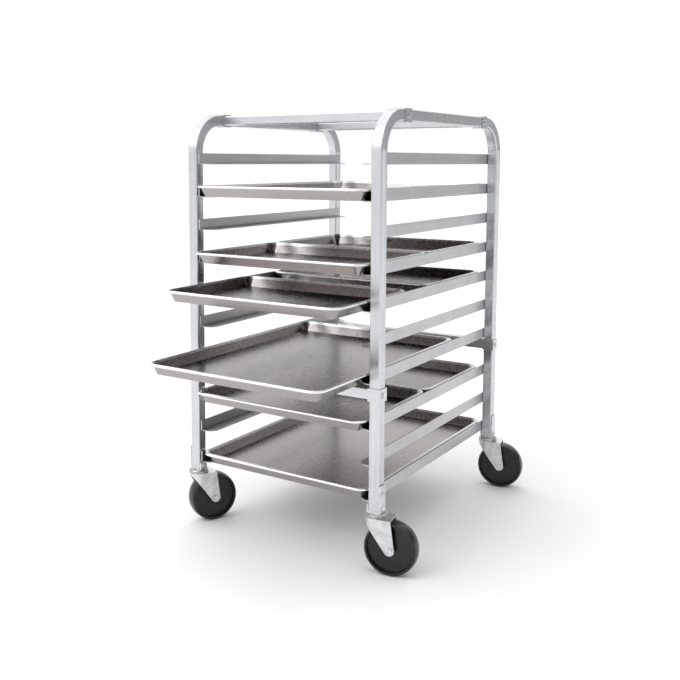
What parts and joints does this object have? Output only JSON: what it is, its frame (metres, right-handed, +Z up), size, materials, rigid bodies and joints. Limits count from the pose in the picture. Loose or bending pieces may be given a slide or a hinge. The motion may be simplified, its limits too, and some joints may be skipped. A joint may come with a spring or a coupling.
{
  "type": "sheet pan rack",
  "caption": "Half-height aluminium sheet pan rack on swivel casters, with paired ledges, cross bars and sliding pans, two of them drawn out.",
  "frame": {"origin": "on the floor under the centre of the rack's four posts", "axes": "+Z up, -Y towards the loading end where the pans are drawn out, +X to the right seen from that end"},
  "size_m": [0.6006, 0.8974, 0.9746],
  "materials": {
    "frame_aluminium": "satin",
    "ledge_aluminium": "satin",
    "weld_metal": "satin",
    "pan_aluminium": "satin",
    "zinc_steel": "satin",
    "raceway_steel": "polished",
    "bolt_steel": "satin",
    "wheel_black": "satin"
  },
  "bodies": {
    "rack": {"side_frame_left": "frame_aluminium", "side_frame_right": "frame_aluminium", "ledge_left_01": "ledge_aluminium", "ledge_left_02": "ledge_aluminium", "ledge_left_03": "ledge_aluminium", "ledge_left_04": "ledge_aluminium", "ledge_left_05": "ledge_aluminium", "ledge_left_06": "ledge_aluminium", "ledge_left_07": "ledge_aluminium", "ledge_left_08": "ledge_aluminium", "ledge_left_09": "ledge_aluminium", "ledge_left_10": "ledge_aluminium", "ledge_right_01": "ledge_aluminium", "ledge_right_02": "ledge_aluminium", "ledge_right_03": "ledge_aluminium", "ledge_right_04": "ledge_aluminium", "ledge_right_05": "ledge_aluminium", "ledge_right_06": "ledge_aluminium", "ledge_right_07": "ledge_aluminium", "ledge_right_08": "ledge_aluminium", "ledge_right_09": "ledge_aluminium", "ledge_right_10": "ledge_aluminium", "ledge_welds": "weld_metal", "crossbar_mid_front": "frame_aluminium", "crossbar_mid_rear": "frame_aluminium", "crossbar_top_front": "frame_aluminium", "crossbar_top_rear": "frame_aluminium", "crossbar_bolts": "bolt_steel", "socket_bolts": "bolt_steel", "socket_nuts": "bolt_steel", "socket_front_left": "zinc_steel", "raceway_front_left": "raceway_steel", "socket_front_right": "zinc_steel", "raceway_front_right": "raceway_steel", "socket_rear_left": "zinc_steel", "raceway_rear_left": "raceway_steel", "socket_rear_right": "zinc_steel", "raceway_rear_right": "raceway_steel"},
    "caster_front_left": {"fork_front_left": "zinc_steel", "axle_front_left": "bolt_steel"},
    "roller_front_left": {"wheel_front_left": "wheel_black"},
    "caster_front_right": {"fork_front_right": "zinc_steel", "axle_front_right": "bolt_steel"},
    "roller_front_right": {"wheel_front_right": "wheel_black"},
    "caster_rear_left": {"fork_rear_left": "zinc_steel", "axle_rear_left": "bolt_steel"},
    "roller_rear_left": {"wheel_rear_left": "wheel_black"},
    "caster_rear_right": {"fork_rear_right": "zinc_steel", "axle_rear_right": "bolt_steel"},
    "roller_rear_right": {"wheel_rear_right": "wheel_black"},
    "tray_02_full": {"pan_02_full": "pan_aluminium"},
    "tray_04_front": {"pan_04_front": "pan_aluminium"},
    "tray_04_rear": {"pan_04_rear": "pan_aluminium"},
    "tray_05_front": {"pan_05_front": "pan_aluminium"},
    "tray_05_rear": {"pan_05_rear": "pan_aluminium"},
    "tray_07_full": {"pan_07_full": "pan_aluminium"},
    "tray_08_front": {"pan_08_front": "pan_aluminium"},
    "tray_08_rear": {"pan_08_rear": "pan_aluminium"},
    "tray_10_full": {"pan_10_full": "pan_aluminium"}
  },
  "joints": [
    {"name": "swivel_front_left", "type": "hinge", "parent": "rack", "child": "caster_front_left", "pos_m": [-0.2413, -0.3123, 0.1185], "axis": [0, 0, 1], "continuous": true},
    {"name": "roll_front_left", "type": "hinge", "parent": "caster_front_left", "child": "roller_front_left", "pos_m": [-0.2251, -0.28184, 0.058], "axis": [-0.8829, 0.4695, 0], "continuous": true},
    {"name": "swivel_front_right", "type": "hinge", "parent": "rack", "child": "caster_front_right", "pos_m": [0.2413, -0.3123, 0.1185], "axis": [0, 0, 1], "continuous": true},
    {"name": "roll_front_right", "type": "hinge", "parent": "caster_front_right", "child": "roller_front_right", "pos_m": [0.27505, -0.30513, 0.058], "axis": [-0.2079, 0.9781, 0], "continuous": true},
    {"name": "swivel_rear_left", "type": "hinge", "parent": "rack", "child": "caster_rear_left", "pos_m": [-0.2413, 0.3123, 0.1185], "axis": [0, 0, 1], "continuous": true},
    {"name": "roll_rear_left", "type": "hinge", "parent": "caster_rear_left", "child": "roller_rear_left", "pos_m": [-0.21487, 0.33448, 0.058], "axis": [-0.6428, 0.766, 0], "continuous": true},
    {"name": "swivel_rear_right", "type": "hinge", "parent": "rack", "child": "caster_rear_right", "pos_m": [0.2413, 0.3123, 0.1185], "axis": [0, 0, 1], "continuous": true},
    {"name": "roll_rear_right", "type": "hinge", "parent": "caster_rear_right", "child": "roller_rear_right", "pos_m": [0.27505, 0.31947, 0.058], "axis": [-0.2079, 0.9781, 0], "continuous": true},
    {"name": "slide_02_full", "type": "slide", "parent": "rack", "child": "tray_02_full", "axis": [0, 1, 0], "range_m": [-0.263, 0.317]},
    {"name": "slide_04_front", "type": "slide", "parent": "rack", "child": "tray_04_front", "axis": [0, 1, 0], "range_m": [-0.106, 0.001]},
    {"name": "slide_04_rear", "type": "slide", "parent": "rack", "child": "tray_04_rear", "axis": [0, 1, 0], "range_m": [0, 0.17]},
    {"name": "slide_05_front", "type": "slide", "parent": "rack", "child": "tray_05_front", "axis": [0, 1, 0], "range_m": [-0.004, 0.1015]},
    {"name": "slide_05_rear", "type": "slide", "parent": "rack", "child": "tray_05_rear", "axis": [0, 1, 0], "range_m": [0, 0.17]},
    {"name": "slide_07_full", "type": "slide", "parent": "rack", "child": "tray_07_full", "axis": [0, 1, 0], "range_m": [-0.093, 0.487]},
    {"name": "slide_08_front", "type": "slide", "parent": "rack", "child": "tray_08_front", "axis": [0, 1, 0], "range_m": [-0.106, 0.001]},
    {"name": "slide_08_rear", "type": "slide", "parent": "rack", "child": "tray_08_rear", "axis": [0, 1, 0], "range_m": [0, 0.17]},
    {"name": "slide_10_full", "type": "slide", "parent": "rack", "child": "tray_10_full", "axis": [0, 1, 0], "range_m": [-0.28, 0.3]}
  ]
}
